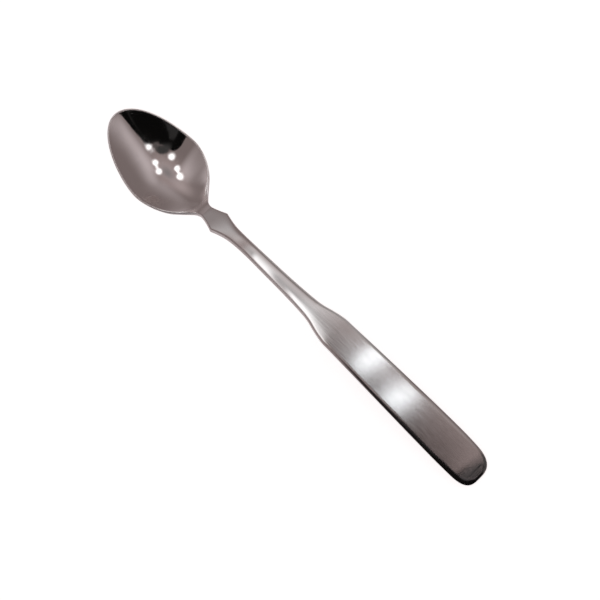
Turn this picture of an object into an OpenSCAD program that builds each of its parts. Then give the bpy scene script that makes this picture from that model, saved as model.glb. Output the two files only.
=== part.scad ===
// Long-handled tea spoon, pressed from one blank of stainless steel.
// It lies on a table with its bowl facing up. +X runs from the bowl tip to
// the handle end, +Z is up, and the origin is the bottom centre of the
// bounding box. The blank is drawn as four zones, bowl, neck, stem and handle,
// which meet face to face on flat planes across X.
// Every zone is a loft through cross-sections of one common shape: a top with
// rounded edges, which is crowned on the handle and hollowed in the bowl, and
// an underside that swells below the bowl. Stations are in mm from the tip.

/* [Overall] */
// Length from the bowl tip to the handle end, mm
length = 184; // [176:1:200]

/* [Bowl] */
// Bowl length from the tip to the narrowest point of the neck, mm
bowl_length = 47; // [44:0.5:50]
// Width across the bowl rim at its widest, mm
bowl_width = 30.2; // [27:0.2:34]
// Depth of the hollow below the rim, mm
bowl_depth = 7.3; // [6.3:0.1:8]
// Width of the narrow land on top of the rim, mm
rim_width = 0.5; // [0.4:0.1:1]
// Height of the rim's side, mm
rim_thickness = 1; // [0.8:0.1:1.3]
// Wall thickness at the bottom of the hollow, mm
bowl_wall = 1.4; // [1.2:0.1:1.8]

/* [Neck] */
// Width of the neck at its narrowest, mm
neck_width = 5; // [4.4:0.1:6]
// Height of the neck's side, mm
neck_thickness = 3.1; // [2.6:0.1:3.4]
// Width across the two pointed shoulders behind the neck, mm
point_width = 8.8; // [7.8:0.1:10]
// Distance from the neck's narrowest place to the shoulder points, mm
point_offset = 6.5; // [5.5:0.5:8]

/* [Stem] */
// Width of the stem at its narrowest, mm
stem_width = 5.1; // [4.4:0.1:6]
// Width of the stem just before the handle's shoulder, mm
stem_end_width = 7.2; // [6.2:0.1:8]
// Height of the stem's side, mm
stem_thickness = 2.2; // [1.9:0.1:2.6]
// Rise of the stem's rounded top above its edges, mm
stem_crown = 0.5; // [0.2:0.1:0.8]

/* [Handle] */
// Width of the handle just behind its shoulder, mm
handle_front_width = 12.3; // [11:0.1:13.8]
// Width of the handle at its widest, near the end, mm
handle_width = 14.9; // [14:0.1:17]
// Height of the handle's side, mm
handle_thickness = 2.2; // [1.8:0.1:2.5]
// Rise of the handle's top above its edges, mm
handle_crown = 0.3; // [0.1:0.1:0.6]
// Length over which the handle's end is rounded off, mm
end_round = 9; // [6:0.5:11]

/* [Side profile] */
// Height of the rim at the bowl tip, mm
tip_height = 16.5; // [14:0.1:18]
// Height of the rim at the middle of the bowl, mm
rim_height = 9.4; // [9:0.1:10.4]
// Height of the top at the neck, its lowest place, mm
neck_height = 4.4; // [4.2:0.1:5.4]
// Height of the top at the crest of the stem, mm
arch_height = 10.2; // [9:0.1:12.5]

/* [Hidden] */

// Planes where the zones meet, and other stations along the spoon
x_wide = 0.544*bowl_length;             // widest place of the bowl
x_neck = bowl_length;                   // bowl to neck
x_point = bowl_length + point_offset;   // tips of the pointed shoulders
x_stem = x_point + 9.5;                 // neck to stem
x_slim = x_stem + 6;                    // slimmest place of the stem
x_blade = length - 83;                  // stem to handle
x_back = x_blade + 14;                  // end of the handle's shoulder
x_low = 0.58*bowl_length;               // where the belly touches the table
lip = 0.02;                             // flat left at the tip and at the end
blunt_x = 1.66;                         // roundness of the bowl tip, lengthwise
blunt_y = 0.5;                          // roundness of the bowl tip, crosswise
sides = 2.6;                            // how straight the bowl's sides run up

// ---- smooth curve through a table of [x, value] rows ----
function row(t, x) = len([for (i = [1:len(t) - 2]) if (x >= t[i][0]) i]);
function chord(t, i) = (t[i + 1][1] - t[i][1])/(t[i + 1][0] - t[i][0]);
function tangent(t, i) =
    i == 0 ? chord(t, 0) : i == len(t) - 1 ? chord(t, i - 1) :
    let (a = t[i][0] - t[i - 1][0], b = t[i + 1][0] - t[i][0])
    (b*chord(t, i - 1) + a*chord(t, i))/(a + b);
function curve(t, x) =
    let (i = row(t, x), h = t[i + 1][0] - t[i][0],
         s = min(1, max(0, (x - t[i][0])/h)), r = 1 - s)
    t[i][1]*(1 + 2*s)*r*r + tangent(t, i)*h*s*r*r
    + t[i + 1][1]*s*s*(3 - 2*s) - tangent(t, i + 1)*h*s*s*r;
// the same with straight lines between the rows
function ramp(t, x) = lookup(x, t);
function mix(a, b, f) = a + (b - a)*f;

// ---- outline: half-width at a station ----
// bowl heel, as a part of the way from the widest place to the neck; the rows
// before 0 and after 1 level the curve at both ends
HEEL = [[-0.24, 0.93], [0, 1], [0.24, 0.93], [0.42, 0.8], [0.6, 0.58], [0.72, 0.35],
        [0.82, 0.16], [0.89, 0.055], [0.94, 0.015], [1, 0], [1.04, 0.01]];
// from the neck out to the shoulder points
FLARE = [[-0.1, 0.02], [0, 0], [0.12, 0.06], [0.3, 0.2], [0.6, 0.5], [1, 1]];
// from the shoulder points back to the stem
TAPER = [[0, 1], [0.1, 0.745], [0.2, 0.52], [0.3, 0.335], [0.4, 0.185], [0.55, 0.065],
         [0.75, 0], [1, 0], [1.2, 0.03]];
// stem: from its slimmest place to the shoulder of the handle
STEM = [[-0.3, 0.08], [0, 0], [0.31, 0.18], [0.69, 0.5], [0.94, 0.94], [1, 1.1]];
// shoulder of the handle, from the stem's end width to the front width
SHOULDER = [[-0.14, -0.06], [0, 0.05], [0.14, 0.18], [0.36, 0.5], [0.57, 0.77],
            [0.79, 0.965], [1, 1], [1.3, 1.025]];
// blade: from the front width to the full width
BLADE = [[-0.3, -0.06], [0, 0], [0.15, 0.2], [0.4, 0.54], [0.64, 0.8], [0.8, 0.86],
         [0.9, 0.72], [1, 0.5]];

function tip_curve(x, half, reach) =
    half*pow(max(0, 1 - pow(max(0, (x_wide - x)/reach), blunt_x)), blunt_y);
function end_curve(x) =
    pow(max(0, 1 - pow(max(0, (x - length + end_round)/end_round), 2.8)), 1/3.3);
function half_width(x) =
    x < x_wide ? tip_curve(x, bowl_width/2, x_wide) :
    x < x_neck ? mix(neck_width/2, bowl_width/2,
                     curve(HEEL, (x - x_wide)/(x_neck - x_wide))) :
    x < x_point ? mix(neck_width/2, point_width/2,
                      curve(FLARE, (x - x_neck)/(x_point - x_neck))) :
    x < x_slim ? mix(stem_width/2, point_width/2,
                     curve(TAPER, (x - x_point)/(x_slim - x_point))) :
    x < x_blade ? mix(stem_width/2, stem_end_width/2,
                      curve(STEM, (x - x_slim)/(x_blade - x_slim))) :
    x < x_back ? mix(stem_end_width/2, handle_front_width/2,
                     curve(SHOULDER, (x - x_blade)/(x_back - x_blade))) :
    mix(handle_front_width/2, handle_width/2,
        curve(BLADE, (x - x_back)/(length - x_back)))*end_curve(x);

// half-width of the hollow, one rim width inside the outline
function outline_slope(x) = (half_width(x + 0.2) - half_width(x - 0.2))/0.4;
function hollow_half(x) =
    x < x_wide ? tip_curve(x, bowl_width/2 - rim_width, x_wide - rim_width) :
    max(0, half_width(x) - rim_width*sqrt(1 + pow(outline_slope(x), 2)));
// share of the hollow's depth behind its widest place, where the floor of the
// bowl rises to the neck in one even sweep
SWEEP = [[-0.1, 0.99], [0, 1], [0.1, 0.985], [0.2, 0.945], [0.3, 0.87], [0.4, 0.755],
         [0.5, 0.605], [0.6, 0.41], [0.7, 0.2], [0.8, 0.055], [0.88, 0.01], [1, 0]];
function heel_part(x) = (x - x_wide)/(x_neck - x_wide);
function depth_share(x) =
    x >= x_neck ? 0 :
    x < x_wide ? pow(hollow_half(x)/(bowl_width/2 - rim_width), 1.75) :
    max(0, curve(SWEEP, heel_part(x)));
// share of the belly's swell: it fades out before the neck
function fade(x) = let (t = min(1, (x_neck - x)/7)) t*t*(3 - 2*t);
function belly_share(x) =
    x >= x_neck ? 0 :
    pow(half_width(x)/(bowl_width/2), mix(1.8, 2.1, max(0, heel_part(x))))*fade(x);
// depth across the bowl, 1 in the middle and 0 at the rim
function dish(q) = (sqrt(1 + sides) - sqrt(1 + sides*q*q))/(sqrt(1 + sides) - 1);

// ---- side profile ----
// height of the top edge before the spoon is set down on the table
PROFILE = [[0, tip_height], [0.21*bowl_length, mix(rim_height, tip_height, 0.56)],
           [0.47*bowl_length, rim_height], [0.66*bowl_length, mix(neck_height, rim_height, 0.75)],
           [0.79*bowl_length, mix(neck_height, rim_height, 0.39)], [0.91*bowl_length, neck_height],
           [x_neck + 0.5, mix(neck_height, arch_height, 0.225)],
           [x_point, mix(neck_height, arch_height, 0.555)],
           [x_stem + 1, mix(neck_height, arch_height, 0.94)], [x_stem + 15, 0.99*arch_height],
           [x_blade - 3, arch_height], [x_back + 3, 0.965*arch_height],
           [length - 40, 0.81*arch_height], [length - 16, 0.61*arch_height],
           [length - 8, 0.505*arch_height], [length - 5, 0.435*arch_height], [length, 0.23*arch_height]];
// height of the side, rise of the top and swell of the underside
SIDE = [[0, rim_thickness], [0.66*bowl_length, rim_thickness],
        [0.83*bowl_length, mix(rim_thickness, neck_thickness, 0.2)],
        [x_neck - 1, mix(rim_thickness, neck_thickness, 0.85)], [x_neck + 3, neck_thickness],
        [x_point + 2, neck_thickness], [x_stem + 8, stem_thickness], [x_blade, stem_thickness],
        [x_back, handle_thickness], [length, handle_thickness]];
CROWN = [[x_neck - 4, 0], [x_neck + 3, 0.15], [x_point, 0.2], [x_stem + 4, stem_crown],
         [x_blade, stem_crown], [x_back + 4, handle_crown], [length, handle_crown]];
SWELL = [[x_neck - 6, 0], [x_neck, 0.4], [x_blade, 0.4], [x_back, 0.12], [length, 0.12]];
// rounding of the top edge: across and down
ROUND_ACROSS = [[0.85*bowl_length, 0.25], [x_neck, 0.55], [x_point + 4, 0.9],
                [x_stem + 6, 1.1], [length, 1.2]];
ROUND_DOWN = [[0.85*bowl_length, 0.25], [x_neck, 0.5], [x_point + 4, 0.8],
              [x_stem + 6, 0.9], [x_back, 0.8], [length, 0.8]];
ROUND_UNDER = [[0.85*bowl_length, 0.3], [x_neck, 0.5], [length, 0.5]];

function swell(x) = (bowl_depth + bowl_wall - rim_thickness)*belly_share(x) + ramp(SWELL, x);
function raw_bottom(x) = curve(PROFILE, x) - ramp(SIDE, x) - swell(x);
// the spoon rests on the belly and on the underside of the handle's end
belly_gap = raw_bottom(x_low);
end_gap = raw_bottom(length);
function edge_height(x) = curve(PROFILE, x)
    - mix(belly_gap, end_gap, (x - x_low)/(length - x_low));

// ---- one cross-section, counter-clockwise seen from the handle end ----
ARC = [0, 30, 60, 90];      // steps round a rounded edge, degrees
ACROSS = 16;                // steps across the hollow
BELOW = 12;                 // steps across the underside
function eased(d, r) = d >= r ? 0 : 1 - sqrt(max(0, 1 - pow(1 - max(0, d)/r, 2)));
function section(x) =
    let (w = half_width(x), z = edge_height(x), side = ramp(SIDE, x),
         rx = min(ramp(ROUND_ACROSS, x), 0.4*w), ru = min(ramp(ROUND_UNDER, x), 0.4*w),
         over = min(ramp(ROUND_DOWN, x), 0.45*side), under = min(ramp(ROUND_UNDER, x), 0.3*side),
         // the tip and the end are rounded over in the same way as the sides
         near = min(x, length - x),
         dip = over*eased(near, ramp(ROUND_ACROSS, x)), lift = under*eased(near, ramp(ROUND_UNDER, x)),
         t = side - dip - lift, rz = min(over, 0.5*t), rv = min(under, 0.35*t),
         h = min(w - 1.15*rx, max(0.1*w, x < x_neck ? hollow_half(x) : 0.8*(w - rx))),
         d = bowl_depth*depth_share(x), c = ramp(CROWN, x), s = swell(x),
         top = z - dip, low = z - side + lift, X = x - length/2)
    concat(
        [for (a = ARC) [X, w - rx*(1 - cos(a)), top - rz*(1 - sin(a))]],
        [for (i = [0:ACROSS]) let (y = h*cos(180*i/ACROSS), q = min(1, abs(y)/h))
            [X, y, top + c*(1 - pow(y/(w - rx), 2)) - d*dish(q)]],
        [for (i = [3:-1:0]) let (a = ARC[i])
            [X, -w + rx*(1 - cos(a)), top - rz*(1 - sin(a))]],
        [for (a = ARC) [X, -w + ru*(1 - cos(a)), low + rv*(1 - sin(a))]],
        [for (i = [1:BELOW - 1]) let (y = -(w - ru)*cos(180*i/BELOW))
            [X, y, low - s*dish(abs(y)/(w - ru))]],
        [for (i = [3:-1:0]) let (a = ARC[i]) [X, w - ru*(1 - cos(a)), low + rv*(1 - sin(a))]]);

// ---- solid through the sections at a list of stations ----
module loft(xs) {
    rings = [for (x = xs) section(x)];
    n = len(rings[0]);
    m = len(xs);
    polyhedron(
        points = [for (r = rings) each r],
        faces = concat(
            [[for (j = [0:n - 1]) j]],
            [for (i = [0:m - 2]) for (j = [0:n - 1]) let (k = (j + 1)%n)
                each [[i*n + j, (i + 1)*n + j, (i + 1)*n + k], [i*n + j, (i + 1)*n + k, i*n + k]]],
            [[for (j = [n - 1:-1:0]) (m - 1)*n + j]]));
}

// evenly spaced stations, and stations that crowd towards the first one
function even(a, b, n) = [for (i = [0:n]) mix(a, b, i/n)];
function crowd(a, b, n) = [for (i = [0:n]) mix(a, b, 1 - cos(90*i/n))];
function rest(v) = [for (i = [1:len(v) - 1]) v[i]];
function back(v) = [for (i = [len(v) - 1:-1:0]) v[i]];

// Polished bowl, from the tip to the narrowest place of the neck
module bowl() {
    color([0.52, 0.50, 0.49])
        loft(concat(crowd(lip, x_wide, 28), rest(even(x_wide, x_neck, 20))));
}
// Neck with its two pointed shoulders
module neck() {
    color([0.50, 0.48, 0.47])
        loft(concat(even(x_neck, x_point, 8), rest(even(x_point, x_stem, 10))));
}
// Slender polished stem
module stem() {
    color([0.56, 0.54, 0.53]) loft(even(x_stem, x_blade, 20));
}
// Flat satin handle with its shoulder and rounded end
module handle() {
    color([0.46, 0.44, 0.43])
        loft(concat(even(x_blade, x_back, 12), rest(even(x_back, length - end_round, 18)),
                    rest(back(crowd(length - lip, length - end_round, 14)))));
}

bowl();
neck();
stem();
handle();
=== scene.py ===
import math

import bpy
import numpy as np
from mathutils import Matrix, Vector


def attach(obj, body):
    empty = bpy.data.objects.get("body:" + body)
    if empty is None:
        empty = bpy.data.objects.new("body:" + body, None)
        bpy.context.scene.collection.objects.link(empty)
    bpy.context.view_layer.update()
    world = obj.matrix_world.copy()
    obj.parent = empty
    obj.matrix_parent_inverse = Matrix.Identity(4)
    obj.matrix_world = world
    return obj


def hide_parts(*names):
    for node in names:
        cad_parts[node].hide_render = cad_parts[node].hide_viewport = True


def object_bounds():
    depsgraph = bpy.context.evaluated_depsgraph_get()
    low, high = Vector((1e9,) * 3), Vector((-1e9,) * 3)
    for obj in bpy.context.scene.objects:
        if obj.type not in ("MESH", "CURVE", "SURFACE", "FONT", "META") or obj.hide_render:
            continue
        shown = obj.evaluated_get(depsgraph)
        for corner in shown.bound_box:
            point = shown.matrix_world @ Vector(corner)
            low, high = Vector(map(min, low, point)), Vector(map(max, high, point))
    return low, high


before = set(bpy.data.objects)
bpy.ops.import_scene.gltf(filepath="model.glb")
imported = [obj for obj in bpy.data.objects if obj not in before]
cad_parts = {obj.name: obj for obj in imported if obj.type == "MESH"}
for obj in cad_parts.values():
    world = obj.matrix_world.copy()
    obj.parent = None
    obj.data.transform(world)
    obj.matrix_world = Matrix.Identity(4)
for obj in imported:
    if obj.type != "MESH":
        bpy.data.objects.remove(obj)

cad_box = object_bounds()

# --------------------------------------------------------------------------
# The spoon's shape, in mm, with x measured from the bowl tip. It is the same
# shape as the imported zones, drawn finer and with softened edges.
# --------------------------------------------------------------------------
LENGTH = 184.0
BOWL_LENGTH, BOWL_WIDTH, BOWL_DEPTH = 47.0, 30.2, 7.3
RIM_WIDTH, RIM_THICKNESS, BOWL_WALL = 0.35, 1.0, 1.4
NECK_WIDTH, NECK_THICKNESS, POINT_WIDTH = 5.0, 3.1, 8.8
STEM_WIDTH, STEM_END_WIDTH, STEM_THICKNESS, STEM_CROWN = 5.1, 7.2, 2.2, 0.55
HANDLE_FRONT_WIDTH, HANDLE_WIDTH, HANDLE_THICKNESS, HANDLE_CROWN = 12.3, 14.9, 2.2, 0.33
END_ROUND = 9.0
TIP_HEIGHT, RIM_HEIGHT, NECK_HEIGHT, ARCH_HEIGHT = 16.5, 9.4, 4.4, 10.2

X_WIDE = 0.544 * BOWL_LENGTH
X_NECK = BOWL_LENGTH
X_POINT = X_NECK + 6.5
X_STEM = X_POINT + 9.5
X_SLIM = X_STEM + 6.0
X_BLADE = LENGTH - 83.0
X_BACK = X_BLADE + 14.0
X_LOW = 0.58 * BOWL_LENGTH
SEAMS = (X_NECK, X_STEM, X_BLADE)
SWEEP = 0.023


def mix(a, b, f):
    return a + (b - a) * f


def hermite(table, x):
    """Smooth curve through the rows of a table, with the slope at a row taken
    from its neighbours."""
    t = np.asarray(table, float)
    tx, ty = t[:, 0], t[:, 1]
    h = np.diff(tx)
    c = np.diff(ty) / h
    m = np.empty(len(tx))
    m[0], m[-1] = c[0], c[-1]
    m[1:-1] = (h[1:] * c[:-1] + h[:-1] * c[1:]) / (h[1:] + h[:-1])
    x = np.asarray(x, float)
    i = np.clip(np.searchsorted(tx, x, side="right") - 1, 0, len(tx) - 2)
    s = np.clip((x - tx[i]) / h[i], 0, 1)
    r = 1 - s
    return (ty[i] * (1 + 2 * s) * r * r + m[i] * h[i] * s * r * r
            + ty[i + 1] * s * s * (3 - 2 * s) - m[i + 1] * h[i] * s * s * r)


def spline(table, x):
    """Curve through the rows of a table whose bend changes smoothly too, so
    that long reflections run through it without a kink."""
    t = np.asarray(table, float)
    tx, ty = t[:, 0], t[:, 1]
    n = len(tx)
    h = np.diff(tx)
    a = np.zeros((n, n))
    b = np.zeros(n)
    a[0, 0] = a[-1, -1] = 1.0
    for i in range(1, n - 1):
        a[i, i - 1], a[i, i], a[i, i + 1] = h[i - 1], 2 * (h[i - 1] + h[i]), h[i]
        b[i] = 6 * ((ty[i + 1] - ty[i]) / h[i] - (ty[i] - ty[i - 1]) / h[i - 1])
    m = np.linalg.solve(a, b)
    x = np.clip(np.asarray(x, float), tx[0], tx[-1])
    i = np.clip(np.searchsorted(tx, x, side="right") - 1, 0, n - 2)
    u, v = tx[i + 1] - x, x - tx[i]
    return ((m[i] * u ** 3 + m[i + 1] * v ** 3) / (6 * h[i])
            + (ty[i] / h[i] - m[i] * h[i] / 6) * u + (ty[i + 1] / h[i] - m[i + 1] * h[i] / 6) * v)


def ramp(table, x, soft=2.0):
    """Straight lines through the rows of a table, with the corners rounded
    over about twice soft."""
    t = np.asarray(table, float)
    k = np.linspace(-2, 2, 9)
    w = np.exp(-0.5 * k * k)
    x = np.asarray(x, float)
    return sum(wi * np.interp(x + soft * ki, t[:, 0], t[:, 1]) for ki, wi in zip(k, w)) / w.sum()


HEEL = [[-0.24, 0.93], [0, 1], [0.24, 0.93], [0.42, 0.8], [0.6, 0.58],
        [0.72, 0.35], [0.82, 0.16], [0.89, 0.055], [0.94, 0.015], [1, 0], [1.04, 0.01]]
FLARE = [[-0.1, 0.02], [0, 0], [0.12, 0.06], [0.3, 0.2], [0.6, 0.5], [1, 1]]
TAPER = [[0, 1], [0.1, 0.745], [0.2, 0.52], [0.3, 0.335], [0.4, 0.185], [0.55, 0.065],
         [0.75, 0], [1, 0], [1.2, 0.03]]
STEM = [[-0.3, 0.08], [0, 0], [0.31, 0.18], [0.69, 0.5], [0.94, 0.94], [1, 1.1]]
SHOULDER = [[-0.14, -0.06], [0, 0.05], [0.14, 0.18], [0.36, 0.5], [0.57, 0.77],
            [0.79, 0.965], [1, 1], [1.3, 1.025]]
BLADE = [[-0.3, -0.06], [0, 0], [0.15, 0.2], [0.4, 0.54], [0.64, 0.8], [0.8, 0.86],
         [0.9, 0.72], [1, 0.5]]
PROFILE = [[0, TIP_HEIGHT], [10, mix(RIM_HEIGHT, TIP_HEIGHT, 0.56)],
           [0.47 * BOWL_LENGTH, RIM_HEIGHT], [0.66 * BOWL_LENGTH, mix(NECK_HEIGHT, RIM_HEIGHT, 0.75)],
           [0.79 * BOWL_LENGTH, mix(NECK_HEIGHT, RIM_HEIGHT, 0.39)], [0.91 * BOWL_LENGTH, NECK_HEIGHT],
           [X_NECK + 0.5, mix(NECK_HEIGHT, ARCH_HEIGHT, 0.225)],
           [X_POINT, mix(NECK_HEIGHT, ARCH_HEIGHT, 0.555)],
           [X_STEM + 1, mix(NECK_HEIGHT, ARCH_HEIGHT, 0.94)], [X_STEM + 15, 0.99 * ARCH_HEIGHT],
           [X_BLADE - 3, ARCH_HEIGHT], [X_BACK + 3, 0.965 * ARCH_HEIGHT],
           [LENGTH - 40, 0.81 * ARCH_HEIGHT], [LENGTH - 16, 0.612 * ARCH_HEIGHT],
           [LENGTH - 8, 0.505 * ARCH_HEIGHT], [LENGTH - 5, 0.435 * ARCH_HEIGHT], [LENGTH, 0.23 * ARCH_HEIGHT]]
SIDE = [[0, RIM_THICKNESS], [0.66 * BOWL_LENGTH, RIM_THICKNESS],
        [0.83 * BOWL_LENGTH, mix(RIM_THICKNESS, NECK_THICKNESS, 0.2)],
        [X_NECK - 1, mix(RIM_THICKNESS, NECK_THICKNESS, 0.85)], [X_NECK + 3, NECK_THICKNESS],
        [X_POINT + 2, NECK_THICKNESS], [X_STEM + 8, STEM_THICKNESS], [X_BLADE, STEM_THICKNESS],
        [X_BACK, HANDLE_THICKNESS], [LENGTH, HANDLE_THICKNESS]]
CROWN = [[X_NECK - 4, 0], [X_NECK + 3, 0.15], [X_POINT, 0.2], [X_STEM + 4, STEM_CROWN],
         [X_BLADE, STEM_CROWN], [X_BACK + 4, HANDLE_CROWN], [LENGTH, HANDLE_CROWN]]
SWELL = [[X_NECK - 6, 0], [X_NECK, 0.4], [X_BLADE, 0.4], [X_BACK, 0.12], [LENGTH, 0.12]]
# roll of the top edge: how far in it reaches, and how far down it goes
ROLL_IN = [[0.8 * BOWL_LENGTH, 0.26], [X_NECK, 0.45], [X_POINT, 0.6], [X_STEM + 6, 0.95],
           [X_BLADE, 1.1], [X_BACK, 1.15], [LENGTH - 50, 1.38], [LENGTH - 36, 1.7],
           [LENGTH - 17, 1.95], [LENGTH - 7, 1.5], [LENGTH, 1.5]]
ROLL_DOWN = [[0.8 * BOWL_LENGTH, 0.33], [X_NECK, 0.45], [X_POINT + 4, 0.6], [X_STEM + 6, 0.8],
             [X_BLADE, 0.9], [X_BACK, 1.2], [LENGTH, 1.5]]
ROLL_POWER = [[0.8 * BOWL_LENGTH, 2.0], [X_NECK, 2.0], [LENGTH, 2.0]]
ROLL_UNDER = [[0.8 * BOWL_LENGTH, 0.28], [X_NECK, 0.5], [LENGTH, 0.5]]
# where the even top begins, in from the outline
LAND = [[0, RIM_WIDTH], [0.7 * BOWL_LENGTH, RIM_WIDTH], [X_NECK, 0.7], [X_POINT, 0.9],
        [X_STEM + 6, 1.15], [X_BLADE, 1.35], [X_BACK, 1.8], [LENGTH, 2.3]]


def blade_half(x):
    return mix(HANDLE_FRONT_WIDTH / 2, HANDLE_WIDTH / 2, hermite(BLADE, (x - X_BACK) / (LENGTH - X_BACK)))


def half_width(x):
    x = np.asarray(x, float)
    tip = np.maximum(0, 1 - np.maximum(0, (X_WIDE - x) / X_WIDE) ** 1.66) ** 0.5
    end = np.maximum(0, 1 - np.maximum(0, (x - LENGTH + END_ROUND) / END_ROUND) ** 2.8) ** (1 / 3.3)
    return np.select(
        [x < X_WIDE, x < X_NECK, x < X_POINT, x < X_SLIM, x < X_BLADE, x < X_BACK],
        [BOWL_WIDTH / 2 * tip,
         mix(NECK_WIDTH / 2, BOWL_WIDTH / 2, hermite(HEEL, (x - X_WIDE) / (X_NECK - X_WIDE))),
         mix(NECK_WIDTH / 2, POINT_WIDTH / 2, hermite(FLARE, (x - X_NECK) / (X_POINT - X_NECK))),
         mix(STEM_WIDTH / 2, POINT_WIDTH / 2, hermite(TAPER, (x - X_POINT) / (X_SLIM - X_POINT))),
         mix(STEM_WIDTH / 2, STEM_END_WIDTH / 2, hermite(STEM, (x - X_SLIM) / (X_BLADE - X_SLIM))),
         mix(STEM_END_WIDTH / 2, HANDLE_FRONT_WIDTH / 2,
             hermite(SHOULDER, (x - X_BLADE) / (X_BACK - X_BLADE)))],
        blade_half(x) * end)


def full_half(x):
    """Half-width without the rounding of the handle's end, for the crown."""
    return np.where(x < X_BACK, np.maximum(half_width(x), 1.0), blade_half(x))


def even_half(x):
    """Half-width with the corners at the points smoothed away."""
    k = np.linspace(-2, 2, 17)
    w = np.exp(-0.5 * k * k)
    return sum(wi * full_half(np.maximum(x + 2.5 * ki, 1.0)) for ki, wi in zip(k, w)) / w.sum()


def fade_to_neck(x, over=7.0):
    """1 in the bowl, 0 at the neck, smooth at both ends."""
    t = np.clip((X_NECK - np.asarray(x, float)) / over, 0, 1)
    return t * t * (3 - 2 * t)


def rise(x):
    return spline(PROFILE, x)


def dish(t):
    """Depth across the bowl, 1 in the middle and 0 at the rim: round at the
    bottom and straighter up the sides."""
    k = 2.6
    return (math.sqrt(1 + k) - np.sqrt(1 + k * t * t)) / (math.sqrt(1 + k) - 1)


def lip(x, t):
    """A little more steepness close to the rim, at the bowl's tip only."""
    return 0.04 * np.clip((16 - x) / 10, 0, 1) * (1 - np.abs(t) ** 10)


def belly_share(x, half):
    """Share of the belly's swell at a place along the bowl."""
    return (half / (BOWL_WIDTH / 2)) ** np.interp(x, [0, X_WIDE, X_NECK], [1.75, 1.8, 2.1]) * fade_to_neck(x)


def hollow_depth(x, half):
    """Depth of the hollow along the middle of the bowl. From the widest place
    on, the floor rises to the neck in one even sweep."""
    tip = BOWL_DEPTH * (half / (BOWL_WIDTH / 2 - RIM_WIDTH)) ** 1.75
    u = np.maximum(0, x - X_WIDE)
    fall = (rise(X_WIDE + 0.05) - rise(X_WIDE - 0.05)) / 0.1
    floor = (rise(X_WIDE) - BOWL_DEPTH + fall * u + SWEEP / 2 * u * u
             + 0.084 * (u - 2.2 * (1 - np.exp(-u / 2.2))))
    gap = rise(x) - floor
    heel = 0.5 * (gap + np.sqrt(gap * gap + 0.04)) * fade_to_neck(x, 3.5)
    return np.where(x < X_WIDE, tip, heel)


def raw_bottom(x):
    share = belly_share(x, half_width(x))
    return (rise(x) - ramp(SIDE, x)
            - (BOWL_DEPTH + BOWL_WALL - RIM_THICKNESS) * share * (x < X_NECK) - ramp(SWELL, x))


BELLY_GAP = float(raw_bottom(np.array(X_LOW)))
END_GAP = float(raw_bottom(np.array(LENGTH)))


def edge_height(x):
    x = np.asarray(x, float)
    return rise(x) - mix(BELLY_GAP, END_GAP, (x - X_LOW) / (LENGTH - X_LOW))


# --------------------------------------------------------------------------
# Outline of one half, as points and inward directions
# --------------------------------------------------------------------------
def blur(values, sigma):
    """Gaussian smoothing along a closed loop of evenly spaced rows."""
    n = len(values)
    f = np.fft.rfftfreq(n) * 2 * np.pi
    return np.fft.irfft(np.fft.rfft(values, axis=0) * np.exp(-0.5 * (f * sigma) ** 2)[:, None], n=n, axis=0)


def outline():
    step = 0.02
    phi = np.linspace(0, math.pi / 2, 1500)
    tip = X_WIDE * (1 - np.cos(phi) ** (1 / 0.83))
    mid = np.arange(X_WIDE + step, LENGTH - END_ROUND, step)
    end = LENGTH - END_ROUND + END_ROUND * np.sin(phi) ** (1 / 1.4)
    x = np.concatenate([tip, mid, end])
    half = np.stack([x, half_width(x)], 1)
    half[0, 1] = half[-1, 1] = 0.0
    loop = np.concatenate([half, (half * [1, -1])[-2:0:-1], half[:1]])
    run = np.concatenate([[0], np.cumsum(np.hypot(*np.diff(loop, axis=0).T))])
    n = 2 * int(run[-1] / step / 2)
    at = np.arange(n) * run[-1] / n
    loop = np.stack([np.interp(at, run, loop[:, k]) for k in (0, 1)], 1)
    loop = blur(loop, 0.16 / step)
    along = np.roll(loop, -1, 0) - np.roll(loop, 1, 0)
    along /= np.hypot(*along.T)[:, None]
    inward = blur(np.stack([along[:, 1], -along[:, 0]], 1), 0.7 / step)
    inward /= np.hypot(*inward.T)[:, None]
    half, inward = loop[:n // 2 + 1].copy(), inward[:n // 2 + 1].copy()
    half[0, 1] = half[-1, 1] = 0.0
    inward[0], inward[-1] = (1, 0), (-1, 0)
    # at the planes where two zones meet, a section lies wholly in the plane
    for seam in SEAMS:
        inward[:, 0] *= 1 - np.exp(-((half[:, 0] - seam) / 1.6) ** 2)
    inward[1:-1, 1] = -np.sqrt(np.maximum(0, 1 - inward[1:-1, 0] ** 2))
    return half, inward


SPACING = [[0, 0.3], [6, 0.42], [X_WIDE, 0.5], [X_NECK - 6, 0.4], [X_NECK, 0.28], [X_POINT - 1, 0.16],
           [X_POINT + 1, 0.16], [X_STEM, 0.35], [X_STEM + 6, 0.5], [X_BLADE, 0.5], [X_BACK, 0.5],
           [LENGTH - END_ROUND, 0.6], [LENGTH - 2, 0.3], [LENGTH, 0.25]]


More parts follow.
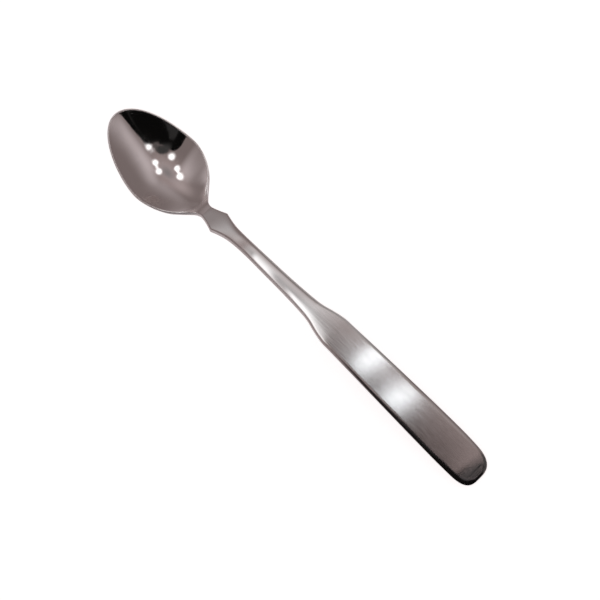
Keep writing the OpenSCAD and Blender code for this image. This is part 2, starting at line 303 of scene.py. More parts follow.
def stations():
    """Points, inward directions and the numbers of the stations at the seams."""
    half, inward = outline()
    run = np.concatenate([[0], np.cumsum(np.hypot(*np.diff(half, axis=0).T))])
    count = np.concatenate([[0], np.cumsum(np.diff(run) / np.interp(
        0.5 * (half[1:, 0] + half[:-1, 0]), *np.array(SPACING).T))])
    cuts = [0.0] + [float(np.interp(s, half[:, 0], count)) for s in SEAMS] + [float(count[-1])]
    at, numbers = [np.array([0.0])], []
    for a, b in zip(cuts, cuts[1:]):
        at.append(np.linspace(a, b, max(2, int(round(b - a))) + 1)[1:])
        numbers.append(sum(len(v) for v in at) - 1)
    at = np.concatenate(at)
    p = np.stack([np.interp(at, count, half[:, k]) for k in (0, 1)], 1)
    n = np.stack([np.interp(at, count, inward[:, k]) for k in (0, 1)], 1)
    n /= np.hypot(*n.T)[:, None]
    for k, seam in zip(numbers[:-1], SEAMS):
        p[k, 0] = seam
        n[k] = (0, -1)
    return p, n, numbers


# --------------------------------------------------------------------------
# Rings: one closed cross-section for each station
# --------------------------------------------------------------------------
N_ROLL, N_LAND, N_TOP, N_WALL, N_UNDER, N_LOW = 9, 3, 56, 2, 4, 36


def rings():
    p, n, numbers = stations()
    px, py = p[:, :1], p[:, 1:]
    nx, ny = n[:, :1], n[:, 1:]
    roll_in = np.minimum(ramp(ROLL_IN, px), 0.42 * np.maximum(py, 2.0))
    roll_down, power = ramp(ROLL_DOWN, px), ramp(ROLL_POWER, px)
    roll_under = np.minimum(ramp(ROLL_UNDER, px), 0.42 * np.maximum(py, 1.0))
    land = np.maximum(np.minimum(ramp(LAND, px), 0.6 * np.maximum(py, 2.0)), roll_in + 0.05)

    def crown(x, y):
        end = np.maximum(0, py ** 2 - y ** 2) / full_half(x) ** 2
        even = even_half(x)
        near = np.clip(1 - (y / even) ** 2, -0.4, 1)
        return ramp(CROWN, x) * np.where(x < X_BLADE, near, mix(near, end, np.clip((x - X_BLADE) / 12, 0, 1)))

    # rolled edge of the top, from the outline inwards
    a = np.linspace(0, math.pi / 2, N_ROLL + 1)[None, :]
    d = roll_in * (1 - np.cos(a) ** (2 / power))
    drop = roll_down * (1 - np.sin(a))
    x, y = px + nx * d, py + ny * d
    roll = np.stack([x, y, edge_height(x) - drop + crown(x, y)], 2)
    # flat land on to where the even top begins
    s = np.linspace(0, 1, N_LAND + 1)[None, 1:]
    d = mix(roll_in, land, s)
    x, y = px + nx * d, py + ny * d
    flat = np.stack([x, y, edge_height(x) + crown(x, y)], 2)
    # top, or the hollow of the bowl, across from one land to the other
    hx, hy = px + nx * land, np.maximum(py + ny * land, 0)
    t = np.cos(np.linspace(0, math.pi, N_TOP + 1))[None, 1:-1]
    x, y = np.repeat(hx, N_TOP - 1, 1), hy * t
    deep = hollow_depth(hx, hy)
    sunk = deep * (dish(t) + lip(hx, t) * (hx < X_WIDE))
    soft = 0.07
    sunk = np.sqrt(sunk ** 2 + soft ** 2) - soft
    top = np.stack([x, y, edge_height(x) + crown(x, y) - sunk], 2)
    # side, rounded lower edge and underside
    z_over = edge_height(px) - roll_down
    z_low = edge_height(px) - ramp(SIDE, px)
    round_down = np.minimum(ramp(ROLL_UNDER, px), 0.35 * (z_over - z_low))
    s = np.linspace(0, 1, N_WALL + 1)[None, 1:]
    wall = np.stack([np.repeat(px, N_WALL, 1), np.repeat(py, N_WALL, 1),
                     mix(z_over, z_low + round_down, s)], 2)
    a = np.linspace(0, math.pi / 2, N_UNDER + 1)[None, 1:]
    d = roll_under * (1 - np.cos(a))
    x, y = px + nx * d, py + ny * d
    under = np.stack([x, y, edge_height(x) - ramp(SIDE, x) + round_down * (1 - np.sin(a))], 2)
    bx, by = px + nx * roll_under, np.maximum(py + ny * roll_under, 0)
    t = np.cos(np.linspace(0, math.pi, N_LOW + 1))[None, 1:-1]
    x, y = np.repeat(bx, N_LOW - 1, 1), by * t
    belly = ((BOWL_DEPTH + BOWL_WALL - RIM_THICKNESS) * belly_share(bx, by)
             + ramp(SWELL, bx) * (by / full_half(bx)) ** 2)
    low = np.stack([x, y, edge_height(x) - ramp(SIDE, x) - belly * dish(t)], 2)

    def left(v):
        return v * [1, -1, 1]

    # round the section: top from right to left, then down and back underneath
    ring = np.concatenate([roll, flat, top, left(flat)[:, ::-1], left(roll)[:, ::-1], left(wall),
                           left(under), low[:, ::-1], under[:, ::-1], wall[:, ::-1]], 1)
    return ring, numbers


def fit(ring):
    """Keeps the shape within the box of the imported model, by a hair."""
    low, high = (np.array(v) * 1000 for v in cad_box)
    v = ring.copy()
    v[..., 0] -= LENGTH / 2
    for k in range(3):
        a, b = v[..., k].min(), v[..., k].max()
        lo, hi = low[k] + 0.004, high[k] - 0.004
        v[..., k] = lo + (v[..., k] - a) * (hi - lo) / (b - a)
    return v / 1000


def pieces_of(ring, numbers):
    """Splits the rings at the seams into closed pieces. Returns, for each, its
    points, faces, normals and UVs by face corner, and marks by point."""
    m, n = ring.shape[:2]
    flat = ring.reshape(-1, 3)
    _, first, weld = np.unique(np.round(flat * 1e8).astype(np.int64), axis=0,
                               return_index=True, return_inverse=True)
    weld = weld.reshape(m, n)
    points = flat[first]
    j = np.arange(n)
    quads = np.stack([weld[:-1], weld[:-1][:, (j + 1) % n], weld[1:][:, (j + 1) % n], weld[1:]], 2)
    a, b, c, d = (points[quads[..., k]] for k in range(4))
    normal = np.zeros_like(points)
    for k in range(4):
        np.add.at(normal, quads[..., k].ravel(), np.cross(c - a, d - b).reshape(-1, 3))
    normal /= np.maximum(np.linalg.norm(normal, axis=1), 1e-30)[:, None]
    # UV: round the section, and along the spoon
    closed = np.concatenate([ring, ring[:, :1]], 1)
    around = np.concatenate([np.zeros((m, 1)), np.cumsum(
        np.linalg.norm(np.diff(closed, axis=1), axis=2), axis=1)], 1)
    along = closed[..., 0]
    uv = np.stack([around, along + 0.1], 2) * 5
    # mark: 1 on the rolled edges and the sides, 0 on the even faces
    edge = np.zeros(n)
    k = N_ROLL + 1
    edge[:k] = np.cos(np.linspace(0, math.pi / 2, k)) ** 0.7
    start = k + N_LAND + N_TOP - 1 + N_LAND
    edge[start:start + k] = edge[:k][::-1]
    start += k
    edge[start:start + N_WALL] = 1
    edge[start + N_WALL:start + N_WALL + N_UNDER] = np.linspace(1, 0, N_UNDER + 2)[1:-1]
    edge[-N_WALL:] = 1
    edge[-N_WALL - N_UNDER:-N_WALL] = np.linspace(0, 1, N_UNDER + 2)[1:-1]
    edges = np.tile(edge, (m, 1))
    # on the bowl the narrow land belongs to the rolled edge
    rim = np.clip((X_NECK - 1 - LENGTH / 2 - ring[:, :1, 0] * 1000) / 4, 0, 1)
    k = N_ROLL + 1
    for cols in (slice(k, k + N_LAND), slice(k + N_LAND + N_TOP - 1, k + 2 * N_LAND + N_TOP - 1)):
        edges[:, cols] = np.maximum(edges[:, cols], 0.9 * rim)
    # and so does the small round between the land and the hollow
    inner = N_ROLL + N_LAND
    gap = np.abs(ring[:, inner, 1])[:, None] - np.abs(ring[:, inner + 1:inner + N_TOP, 1])
    drop = ring[:, inner, 2][:, None] - ring[:, inner + 1:inner + N_TOP, 2]
    near = 0.9 * rim * np.maximum(np.clip(1 - (gap * 1000 - 0.15) / 0.35, 0, 1),
                                  np.clip(1 - (drop * 1000 - 0.1) / 0.2, 0, 1))
    edges[:, inner + 1:inner + N_TOP] = np.maximum(edges[:, inner + 1:inner + N_TOP], near)
    mark = np.zeros(len(points))
    np.maximum.at(mark, weld.ravel(), edges.ravel())
    made = []
    for k0, k1 in zip([0] + numbers[:-1], numbers):
        faces, normals, uvs = [], [], []
        for i in range(k0, k1):
            for q in range(n):
                corner, kept = [], []
                for w, (ii, jj) in zip(quads[i, q], ((i, q), (i, q + 1), (i + 1, q + 1), (i + 1, q))):
                    if w not in corner:
                        corner.append(int(w))
                        kept.append((ii, jj))
                if len(corner) > 2:
                    faces.append(corner)
                    normals.extend(normal[corner])
                    uvs.extend(uv[ii, jj] for ii, jj in kept)
        for k, side in ((k0, -1), (k1, 1)):
            if 0 < k < m - 1:
                corner = [int(w) for w in (weld[k] if side > 0 else weld[k][::-1])]
                faces.append(corner)
                normals.extend([(side, 0, 0)] * n)
                uvs.extend(points[corner][:, 1:] * 5)
        used = sorted({w for f in faces for w in f})
        number = {w: i for i, w in enumerate(used)}
        made.append((points[used], [[number[w] for w in f] for f in faces], np.array(normals),
                     np.array(uvs), mark[used]))
    return made


NAMES = ("bowl", "neck", "stem", "handle")
SLOTS = ("polished_steel", "polished_steel", "polished_steel", "satin_steel")
objects = {}
ring, numbers = rings()
for name, (points, faces, normals, uvs, mark) in zip(NAMES, pieces_of(fit(ring), numbers)):
    mesh = bpy.data.meshes.new(name + "_visual")
    mesh.from_pydata(points.tolist(), [], faces)
    mesh.polygons.foreach_set("use_smooth", np.ones(len(mesh.polygons), bool))
    layer = mesh.uv_layers.new(name="grain")
    layer.uv.foreach_set("vector", uvs.astype(np.float32).ravel())
    worn = mesh.attributes.new("edge", "FLOAT", "POINT")
    worn.data.foreach_set("value", mark.astype(np.float32))
    mesh.normals_split_custom_set(normals.tolist())
    mesh.update()
    ob = bpy.data.objects.new(name + "_visual", mesh)
    bpy.context.scene.collection.objects.link(ob)
    objects[name] = ob

# --------------------------------------------------------------------------
# Materials
# --------------------------------------------------------------------------
def nodes_of(material):
    material.use_nodes = True
    tree = material.node_tree
    tree.nodes.clear()
    return tree


def add(tree, kind, **values):
    node = tree.nodes.new(kind)
    for key, value in values.items():
        if key in node.inputs:
            node.inputs[key].default_value = value
        else:
            setattr(node, key, value)
    return node


class Steel:
    """Stainless steel: polished towards the bowl, brushed lengthwise on the
    handle, with a soft change between the two on the shoulder."""

    def __init__(self, name, anisotropic):
        self.material = bpy.data.materials.new(name)
        self.tree = nodes_of(self.material)
        out = add(self.tree, "ShaderNodeOutputMaterial")
        shader = add(self.tree, "ShaderNodeBsdfPrincipled")
        shader.inputs["Metallic"].default_value = 1.0
        shader.inputs["Anisotropic"].default_value = anisotropic
        self.link(shader.outputs["BSDF"], out.inputs["Surface"])
        self.place = add(self.tree, "ShaderNodeTexCoord").outputs["Object"]
        if anisotropic:
            grain = add(self.tree, "ShaderNodeTangent", direction_type="UV_MAP", uv_map="grain")
            self.link(grain.outputs["Tangent"], shader.inputs["Tangent"])

        split = add(self.tree, "ShaderNodeSeparateXYZ")
        self.link(self.place, split.inputs["Vector"])
        brushed = self.span(split.outputs["X"], -0.004, 0.018, 0, 1, "SMOOTHSTEP")
        edge = add(self.tree, "ShaderNodeAttribute", attribute_name="edge").outputs["Fac"]

        # hairlines left by use, in several directions, and fine brush lines
        hairs = None
        for angle, seed, low in ((0.35, 3.1, 0.63), (-0.75, 11.7, 0.65), (1.3, 23.9, 0.66), (2.3, 37.3, 0.67)):
            fine = self.noise((70, 5200, 400), angle, seed, 1.5)
            hair = self.span(fine, low, low + 0.09, 0, 1)
            hairs = hair if hairs is None else self.math("MAXIMUM", hairs, hair)
        cloud = self.noise((90, 90, 90), 0.0, 5.5, 3.0)
        wide = self.noise((38, 38, 38), 0.0, 51.0, 2.0)
        lines = self.noise((26, 3600, 3600), 0.0, 61.0, 3.0)
        broad = self.noise((9, 900, 900), 0.0, 73.0, 2.0)
        brush = self.math("ADD", self.math("MULTIPLY", lines, 0.7), self.math("MULTIPLY", broad, 0.3))

        # roughness
        mirror = self.math("ADD", self.span(cloud, 0.3, 0.7, 0.05, 0.08), self.math("MULTIPLY", hairs, 0.05))
        mirror = self.blend(self.math("MULTIPLY", edge, 0.9), mirror, 0.46)
        satin = self.math("ADD", self.span(brush, 0.3, 0.7, 0.18, 0.26), self.math("MULTIPLY", hairs, 0.02))
        satin = self.blend(self.math("MULTIPLY", edge, 0.7), satin, 0.14)
        self.link(self.blend(brushed, mirror, satin), shader.inputs["Roughness"])

        # colour: a warm grey steel that varies a little from place to place
        tone = self.span(wide, 0.3, 0.7, 0, 1)
        plain = self.colour(tone, (0.605, 0.566, 0.548), (0.64, 0.606, 0.592))
        grainy = self.colour(self.span(brush, 0.32, 0.68, 0, 1), (0.545, 0.506, 0.487), (0.64, 0.604, 0.588))
        mixed = self.colour(brushed, plain, grainy)
        self.link(mixed, shader.inputs["Base Color"])

        # relief
        deep = self.blend(brushed, self.math("MULTIPLY", hairs, -0.35), self.math("SUBTRACT", brush, self.math("MULTIPLY", hairs, 0.12)))
        bump = add(self.tree, "ShaderNodeBump", Strength=0.10, Distance=0.00003)
        self.link(deep, bump.inputs["Height"])
        self.link(bump.outputs["Normal"], shader.inputs["Normal"])

    def link(self, a, b):
        self.tree.links.new(a, b)

    def put(self, value, socket):
        if isinstance(value, (int, float)):
            socket.default_value = value
        elif isinstance(value, tuple):
            socket.default_value = value + (1.0,)
        else:
            self.link(value, socket)

    def math(self, what, a, b):
        node = add(self.tree, "ShaderNodeMath", operation=what)
        self.put(a, node.inputs[0])
        self.put(b, node.inputs[1])
        return node.outputs[0]

    def span(self, value, low, high, to_low, to_high, how="LINEAR"):
        node = add(self.tree, "ShaderNodeMapRange", interpolation_type=how)
        for key, number in (("From Min", low), ("From Max", high), ("To Min", to_low), ("To Max", to_high)):
            node.inputs[key].default_value = number
        self.link(value, node.inputs["Value"])
        return node.outputs["Result"]

    def blend(self, share, a, b):
        node = add(self.tree, "ShaderNodeMix", data_type="FLOAT")
        self.put(share, node.inputs[0])
        self.put(a, node.inputs[2])
        self.put(b, node.inputs[3])
        return node.outputs[0]

    def colour(self, share, a, b):
        node = add(self.tree, "ShaderNodeMix", data_type="RGBA")
        self.put(share, node.inputs[0])
        self.put(a, node.inputs[6])
        self.put(b, node.inputs[7])
        return node.outputs[2]

    def noise(self, scale, angle, seed, detail):
        place = add(self.tree, "ShaderNodeMapping")
        place.inputs["Location"].default_value = (seed, seed * 0.37, seed * 0.71)
        place.inputs["Rotation"].default_value = (0, 0, angle)
        place.inputs["Scale"].default_value = scale
        self.link(self.place, place.inputs["Vector"])
        node = add(self.tree, "ShaderNodeTexNoise", Scale=1.0, Detail=detail, Roughness=0.55)
        self.link(place.outputs["Vector"], node.inputs["Vector"])
        return node.outputs["Fac"]


polished = Steel("polished_steel", 0.0).material
drawn = Steel("drawn_steel", 0.8).material
satin = Steel("satin_steel", 0.8).material
for name, slot, material in zip(NAMES, SLOTS, (polished, polished, drawn, satin)):
    ob = objects[name]
    ob.data.materials.append(material)
    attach(ob, "root")
    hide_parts(name)

# --------------------------------------------------------------------------
# Stage: floor, world, lights and camera
# --------------------------------------------------------------------------
scene = bpy.context.scene
scene.view_settings.view_transform = "Standard"

AZ, EL = math.radians(45.19), math.radians(73.04)
BACK = Vector((math.sin(AZ) * math.cos(EL), -math.cos(AZ) * math.cos(EL), math.sin(EL)))
RIGHT = Vector((math.cos(AZ), math.sin(AZ), 0))
FRONT = Vector((math.sin(AZ), -math.cos(AZ), 0))
UP = BACK.cross(RIGHT)
AIM = Vector((0, 0, 0.006)) + RIGHT * 0.002145 - UP * 0.001842

camera_data = bpy.data.cameras.new("camera")
camera_data.lens = 109.45
camera_data.sensor_width = 36.0
camera_data.clip_start = 0.01
camera_data.clip_end = 20.0
camera = bpy.data.objects.new("camera", camera_data)
scene.collection.objects.link(camera)
camera.matrix_world = Matrix.Translation(AIM + BACK * 0.65) @ Matrix((
    (RIGHT.x, UP.x, BACK.x, 0), (RIGHT.y, UP.y, BACK.y, 0), (RIGHT.z, UP.z, BACK.z, 0), (0, 0, 0, 1)))
scene.camera = camera

mesh = bpy.data.meshes.new("floor")
mesh.from_pydata([(-4, -4, 0), (4, -4, 0), (4, 4, 0), (-4, 4, 0)], [], [(0, 1, 2, 3)])
floor = bpy.data.objects.new("floor", mesh)
scene.collection.objects.link(floor)
material = bpy.data.materials.new("pale_floor")
tree = nodes_of(material)
out = add(tree, "ShaderNodeOutputMaterial")
shader = add(tree, "ShaderNodeBsdfPrincipled")
shader.inputs["Base Color"].default_value = (0.9, 0.9, 0.9, 1)
shader.inputs["Roughness"].default_value = 0.9
shader.inputs["Emission Color"].default_value = (1, 1, 1, 1)
shader.inputs["Emission Strength"].default_value = 0.8
tree.links.new(shader.outputs["BSDF"], out.inputs["Surface"])
floor.data.materials.append(material)
floor.visible_glossy = False

# a soft tent: a lighter ring of wall under a darker roof
world = bpy.data.worlds.new("studio")
scene.world = world
world.use_nodes = True
tree = world.node_tree
ground = tree.nodes["Background"]
place = add(tree, "ShaderNodeTexCoord")
split = add(tree, "ShaderNodeSeparateXYZ")
tree.links.new(place.outputs["Generated"], split.inputs["Vector"])
shade = add(tree, "ShaderNodeValToRGB")
tones = [(0.0, 0.27), (0.5, 0.27), (0.62, 0.27), (0.7, 0.3), (0.77, 0.36), (0.85, 0.43), (0.91, 0.4),
         (0.95, 0.345), (0.98, 0.21), (1.0, 0.09)]
while len(shade.color_ramp.elements) < len(tones):
    shade.color_ramp.elements.new(0.5)
for element, (at, tone) in zip(shade.color_ramp.elements, tones):
    element.position = at
    element.color = (tone, tone * 0.83, tone * 0.825, 1)
tree.links.new(split.outputs["Z"], shade.inputs["Fac"])
tree.links.new(shade.outputs["Color"], ground.inputs["Color"])
ground.inputs["Strength"].default_value = 1.0


def toward(az, el, reach, start):
    """A place seen from start, az degrees to the right of the camera's side and
    el degrees above the horizon."""
    a, e = math.radians(az), math.radians(el)
    return start + reach * (RIGHT * math.sin(a) * math.cos(e) + FRONT * math.cos(a) * math.cos(e)
                            + Vector((0, 0, math.sin(e))))


def lamp(name, where, start, wide, tall, across, radiance, tint, names):
    """Oval lamp that faces start, with its wide axis nearest to across, which
    shows only in the named pieces."""
    data = bpy.data.lights.new(name, "AREA")
    data.shape = "ELLIPSE"
    data.size, data.size_y = wide, tall
    data.energy = radiance * math.pi * (math.pi / 4 * wide * tall)
    data.color = tint
    ob = bpy.data.objects.new(name, data)
    scene.collection.objects.link(ob)
    z = (where - start).normalized()
    x = (across - z * across.dot(z)).normalized()
    y = z.cross(x)
    ob.matrix_world = Matrix.Translation(where) @ Matrix((
        (x.x, y.x, z.x, 0), (x.y, y.y, z.y, 0), (x.z, y.z, z.z, 0), (0, 0, 0, 1)))
    ob.visible_camera = False
    ob.visible_diffuse = False
    group = bpy.data.collections.new(name + "_lit")
    for piece in names:
        group.objects.link(objects[piece])
    ob.light_linking.receiver_collection = group
    return ob


def soft_light(name, mesh, where, names, rows, around):
    """Wide surface that shows soft patches of light, only in the named pieces;
    rays pass through it. Each row is a patch: tint, radiance, location, turn,
    half-axes, and the share of them over which it fades out, one number for an
    oval and a pair for an oblong. Around takes the patches as directions."""
    ob = bpy.data.objects.new(name, mesh)
    scene.collection.objects.link(ob)
    ob.location = where
    material = bpy.data.materials.new(name)
    tree = nodes_of(material)
    link = tree.links.new
    place = add(tree, "ShaderNodeTexCoord").outputs["Object"]
    if around:
        unit = add(tree, "ShaderNodeVectorMath", operation="NORMALIZE")
        link(place, unit.inputs[0])
        place = unit.outputs["Vector"]
    sums = {}
    for tint, radiance, location, turn, half, soft in rows:
        spot = add(tree, "ShaderNodeMapping", vector_type="TEXTURE", Location=location, Rotation=turn, Scale=half)
        link(place, spot.inputs["Vector"])
        flat = add(tree, "ShaderNodeVectorMath", operation="MULTIPLY")
        flat.inputs[1].default_value = (1, 1, 0)
        if around:
            parts = add(tree, "ShaderNodeSeparateXYZ")
            link(spot.outputs["Vector"], parts.inputs["Vector"])
            ahead = add(tree, "ShaderNodeMath", operation="MAXIMUM")
            link(parts.outputs["Z"], ahead.inputs[0])
            ahead.inputs[1].default_value = 0.001
            share = add(tree, "ShaderNodeMath", operation="DIVIDE")
            share.inputs[0].default_value = 1.0
            link(ahead.outputs[0], share.inputs[1])
            onto = add(tree, "ShaderNodeVectorMath", operation="SCALE")
            link(spot.outputs["Vector"], onto.inputs[0])
            link(share.outputs[0], onto.inputs["Scale"])
            link(onto.outputs["Vector"], flat.inputs[0])
        else:
            link(spot.outputs["Vector"], flat.inputs[0])
        if isinstance(soft, tuple):
            away = add(tree, "ShaderNodeVectorMath", operation="ABSOLUTE")
            link(flat.outputs["Vector"], away.inputs[0])
            parts = add(tree, "ShaderNodeSeparateXYZ")
            link(away.outputs["Vector"], parts.inputs["Vector"])
            reach = [(parts.outputs["X"], soft[0], radiance), (parts.outputs["Y"], soft[1], 1.0)]
        else:
            away = add(tree, "ShaderNodeVectorMath", operation="LENGTH")
            link(flat.outputs["Vector"], away.inputs[0])
            reach = [(away.outputs["Value"], soft, radiance)]
        level = None
        for value, part, top in reach:
            fade = add(tree, "ShaderNodeMapRange", interpolation_type="SMOOTHSTEP")
            for key, number in (("From Min", 1 - part), ("From Max", 1.0), ("To Min", top), ("To Max", 0.0)):
                fade.inputs[key].default_value = number
            link(value, fade.inputs["Value"])
            level = fade.outputs["Result"] if level is None else both(tree, "MULTIPLY", level, fade.outputs["Result"])
        sums[tint] = level if tint not in sums else both(tree, "ADD", sums[tint], level)
    surface = add(tree, "ShaderNodeBsdfTransparent").outputs["BSDF"]
    for tint, level in sums.items():
        light = add(tree, "ShaderNodeEmission", Color=tint + (1,))
        link(level, light.inputs["Strength"])
        joined = add(tree, "ShaderNodeAddShader")
        link(surface, joined.inputs[0])
        link(light.outputs["Emission"], joined.inputs[1])
        surface = joined.outputs["Shader"]
    link(surface, add(tree, "ShaderNodeOutputMaterial").inputs["Surface"])
    material.cycles.emission_sampling = "NONE"
    ob.data.materials.append(material)
    ob.visible_camera = False
    ob.visible_diffuse = False
    ob.visible_shadow = False
    group = bpy.data.collections.new(name + "_lit")
    for piece in names:
        group.objects.link(objects[piece])
    ob.light_linking.receiver_collection = group
    return ob


def both(tree, what, a, b):
    node = add(tree, "ShaderNodeMath", operation=what)
    tree.links.new(a, node.inputs[0])
    tree.links.new(b, node.inputs[1])
    return node.outputs[0]


def dome(name, where, reach, names, rows):
    """Half-sphere round a place with soft patches: az, el, half-axes and roll in
    degrees, radiance, tint, soft."""
    points, faces = [], []
    for e in range(-10, 90, 10):
        for a in range(0, 360, 10):
            points.append((reach * math.cos(math.radians(a)) * math.cos(math.radians(e)),
                           reach * math.sin(math.radians(a)) * math.cos(math.radians(e)),
                           reach * math.sin(math.radians(e))))
    points.append((0, 0, reach))
    for i in range(9):
        faces += [(36 * i + k, 36 * i + (k + 1) % 36, 36 * i + 36 + (k + 1) % 36, 36 * i + 36 + k) for k in range(36)]
    faces += [(324 + k, 324 + (k + 1) % 36, 360) for k in range(36)]
    mesh = bpy.data.meshes.new(name)
    mesh.from_pydata(points, [], faces)
    made = []
    for az, el, wide, tall, roll, radiance, tint, soft in rows:
        a, e, r = math.radians(az), math.radians(el), math.radians(roll)
        level = RIGHT * math.cos(a) - FRONT * math.sin(a)
        upright = (-(RIGHT * math.sin(a) + FRONT * math.cos(a)) * math.sin(e) + Vector((0, 0, math.cos(e))))
        z = toward(az, el, 1.0, Vector((0, 0, 0)))
        x = level * math.cos(r) + upright * math.sin(r)
        y = z.cross(x)
        turn = Matrix(((x.x, y.x, z.x), (x.y, y.y, z.y), (x.z, y.z, z.z))).to_euler()
        made.append((tint, radiance, (0, 0, 0), tuple(turn),
                     (math.tan(math.radians(wide)), math.tan(math.radians(tall)), 1), soft))
    soft_light(name, mesh, where, names, made, True)


def sheet(name, height, names, rows):
    """Level surface with soft patches: x from the bowl's tip, y and half-axes in
    mm, radiance, tint, soft."""
    side = max(abs(r[1]) + r[3] for r in rows) / 1000
    low = min(r[0] - r[2] for r in rows) / 1000 - 0.092
    high = max(r[0] + r[2] for r in rows) / 1000 - 0.092
    mesh = bpy.data.meshes.new(name)
    mesh.from_pydata([(low, -side, 0), (high, -side, 0), (high, side, 0), (low, side, 0)],
                     [], [(0, 1, 2, 3)])
    return soft_light(
        name, mesh, Vector((0, 0, height / 1000)), names,
        [(tint, radiance, (x / 1000 - 0.092, y / 1000, 0), (0, 0, 0), (hx / 1000, hy / 1000, 1), soft)
         for x, y, hx, hy, radiance, tint, soft in rows], False)


COOL = (0.92, 0.97, 1.0)
ICY = (0.84, 0.94, 1.0)
FRESH = (0.86, 0.96, 1.0)
SOFT = (1.0, 0.95, 0.99)
BOWL = Vector((-0.068, 0, 0.003))
# round the bowl: six lamps and what joins them, then the tent's walls and roof
dome("bowl_dome", BOWL, 0.9, ("bowl",), [
    (33.6, 46.6, 14.4, 2.7, 9, 2.4, COOL, 0.85), (61.9, 59.2, 15.4, 6.0, -17, 2.4, COOL, 0.85),
    (102.9, 65.0, 17.0, 8.6, -53, 2.4, COOL, 0.85), (-25.6, 50.0, 10.0, 7.5, 20, 2.4, COOL, 0.85),
    (-64.8, 58.3, 10.2, 8.2, 82, 2.4, COOL, 0.85), (-93.8, 60.6, 13.9, 6.1, -48, 2.4, COOL, 0.85),
    (79, 62.5, 9.6, 5.4, -20, 1.4, COOL, 0.85), (-79, 60, 7.2, 4.8, 20, 1.4, COOL, 0.85),
    (93, 39, 50, 25, 0, 0.43, SOFT, 1.0), (-78, 43.5, 27, 14.5, -55, 0.35, SOFT, 1.0),
    (156, 36, 36, 27, 0, 0.2, SOFT, 1.0), (-140, 59, 34, 19, 0, 0.12, SOFT, 1.0), (0, 89, 34, 34, 0, 0.25, SOFT, 1.0),
    (-152, 27, 24, 13, 0, 0.14, SOFT, 1.0), (76, 18, 22, 12, 0, 0.15, SOFT, 1.0)])
# over the stem: an even light, the spot at its front, its side and the long streak
sheet("stem_sheet", 60, ("neck", "stem", "handle"), [
    (76, 4, 33, 46, 0.44, FRESH, (0.45, 0.55)), (90, 8, 9, 40, 0.16, FRESH, (0.8, 0.6)),
    (65.8, -8, 7, 38, 1.1, COOL, (0.7, 1.0)), (70, -46, 16, 34, 0.36, COOL, (0.5, 0.6)),
    (91.5, -32, 16.5, 36, 1.2, COOL, (0.4, 0.35))])
sheet("neck_sheet", 61, ("neck", "stem"), [
    (18, 8, 32, 32, 0.31, FRESH, (0.8, 0.8)), (-24, 12, 50, 40, 0.14, FRESH, (0.7, 0.8)),
    (38, 4, 14, 48, 0.1, FRESH, (0.8, 0.5))])
# under the spoon, light thrown up by the table
sheet("table_sheet", -6, ("bowl", "neck", "stem", "handle"), [(52, 0, 75, 300, 0.45, SOFT, (0.5, 0.3))])
# beside the right-hand edge, stood upright
edge_sheet = sheet("edge_sheet", 18, ("stem", "handle"), [(98, 0, 46, 28, 0.17, (0.7, 1.0, 1.0), (0.4, 0.8))])
edge_sheet.location.y = 0.04
edge_sheet.rotation_euler.x = math.pi / 2

# two lamps close above the handle, for its two bright bands
def above_handle(along, aside, up):
    return Vector((along / 1000 - 0.092, 0, 0)) + Vector((0, aside / 1000, up / 1000))


lamp("handle_lamp_1", above_handle(121.8, 43, 154), above_handle(128, 3, 9.5), 0.101, 0.0119, Vector((0.025, 1, 0)), 3.08, ICY, ("handle",))
lamp("handle_lamp_2", above_handle(146.4, 27, 155), above_handle(144.6, 1, 8.5), 0.092, 0.010, Vector((0.045, 1, 0)), 3.3, ICY, ("handle",))
# faint light on the handle's shoulder, along its right-hand edge and on its end
sheet("shoulder_sheet", 62, ("handle",), [(110, 12, 15, 40, 0.15, COOL, (0.8, 0.6))])
dome("handle_dome", Vector((0.05, 0, 0.008)), 0.8, ("handle",), [(142, 40, 35, 35, 0, 0.15, COOL, 0.8)])
dome("end_dome", Vector((0.088, 0, 0.006)), 0.03, ("handle",), [(46, 42, 33, 30, 0, 0.085, SOFT, 0.7)])

# dark board beside the handle
mesh = bpy.data.meshes.new("side_board")
mesh.from_pydata([(0.057, -0.05, 0.03), (0.081, -0.05, 0.03), (0.081, -0.05, 0.135), (0.057, -0.05, 0.135)],
                 [], [(0, 1, 2, 3)])
side_board = bpy.data.objects.new("side_board", mesh)
# and a low one past the right-hand corner of its end
mesh = bpy.data.meshes.new("end_board")
mesh.from_pydata([tuple(RIGHT * a + FRONT * b + Vector((0, 0, c))) for a, b, c in (
    (0.11, 0.08, -0.03), (0.112, 0.038, -0.03), (0.112, 0.038, 0.034), (0.11, 0.08, 0.034))], [], [(0, 1, 2, 3)])
end_board = bpy.data.objects.new("end_board", mesh)

# dark front opening of the tent, with a charcoal patch in it
def front(along, height):
    """A place on the tent's front wall, in mm from its right-hand corner."""
    corner, far = RIGHT * 110 + FRONT * 80, RIGHT * -260 + FRONT * 230
    return (corner + (far - corner).normalized() * along + Vector((0, 0, height))) / 1000


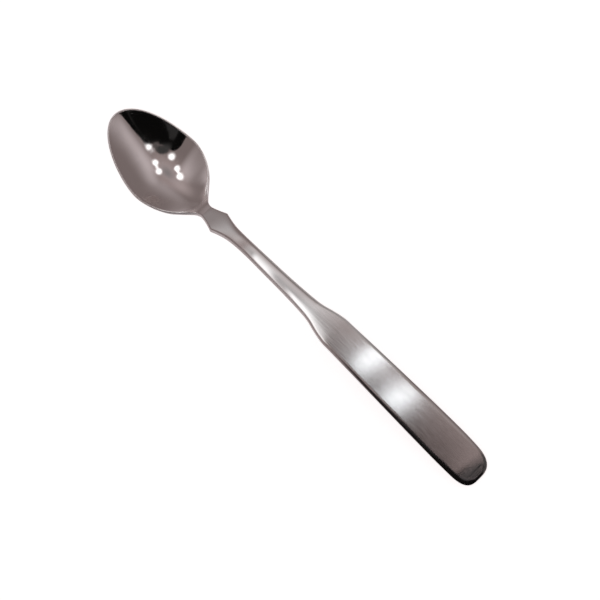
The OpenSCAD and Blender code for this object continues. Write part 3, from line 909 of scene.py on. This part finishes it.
mesh = bpy.data.meshes.new("opening")
top = [(0, 96), (18, 112), (39, 136), (44, 175), (48, 197), (70, 191), (94, 185), (132, 174), (158, 166),
       (177, 169), (205, 184), (235, 209), (287, 244), (330, 258), (363, 260), (390, 255), (391, 230), (389, 150)]
points = [tuple(front(*p)) for p in top] + [tuple(front(p[0], -400)) for p in top]
n = len(top)
mesh.from_pydata(points, [], [(k, k + 1, n + k + 1, n + k) for k in range(n - 1)])
opening = bpy.data.objects.new("opening", mesh)
patch = bpy.data.meshes.new("patch")
patch.from_pydata([tuple(front(*p) - FRONT * 0.003) for p in (
    (185, 60), (200, 115), (226, 155), (258, 168), (284, 138), (268, 72))], [], [(0, 1, 2, 3, 4, 5)])
patch = bpy.data.objects.new("opening_patch", patch)
# half-shade that softens the middle of its upper edge
dusk = bpy.data.meshes.new("dusk")
dusk.from_pydata([(-1, -1, 0), (1, -1, 0), (1, 1, 0), (-1, 1, 0)], [], [(0, 1, 2, 3)])
dusk = bpy.data.objects.new("opening_dusk", dusk)
side = (front(1, 0) - front(0, 0)).normalized()
up = Vector((0, 0, 1))
back = side.cross(up)
dusk.matrix_world = Matrix.Translation(front(176, 197) - FRONT * 0.006) @ Matrix((
    (side.x, up.x, back.x, 0), (side.y, up.y, back.y, 0), (side.z, up.z, back.z, 0), (0, 0, 0, 1))
) @ Matrix.Diagonal((0.092, 0.046, 1, 1))
for ob, tone in ((opening, 0.004), (patch, 0.035), (side_board, 0.02), (end_board, 0.09), (dusk, 0.06)):
    scene.collection.objects.link(ob)
    material = bpy.data.materials.new(ob.name)
    tree = nodes_of(material)
    out = add(tree, "ShaderNodeOutputMaterial")
    dark = add(tree, "ShaderNodeEmission", Color=(tone, tone, tone, 1), Strength=1.0).outputs["Emission"]
    if ob is dusk:
        away = add(tree, "ShaderNodeVectorMath", operation="LENGTH")
        tree.links.new(add(tree, "ShaderNodeTexCoord").outputs["Object"], away.inputs[0])
        fade = add(tree, "ShaderNodeMapRange", interpolation_type="SMOOTHSTEP")
        for key, number in (("From Min", 0.45), ("From Max", 1.0), ("To Min", 0.0), ("To Max", 1.0)):
            fade.inputs[key].default_value = number
        tree.links.new(away.outputs["Value"], fade.inputs["Value"])
        mixed = add(tree, "ShaderNodeMixShader")
        tree.links.new(fade.outputs["Result"], mixed.inputs["Fac"])
        tree.links.new(dark, mixed.inputs[1])
        tree.links.new(add(tree, "ShaderNodeBsdfTransparent").outputs["BSDF"], mixed.inputs[2])
        dark = mixed.outputs["Shader"]
        material.cycles.emission_sampling = "NONE"
    tree.links.new(dark, out.inputs["Surface"])
    ob.data.materials.append(material)
    ob.visible_camera = False
    ob.visible_diffuse = False
    ob.visible_shadow = False
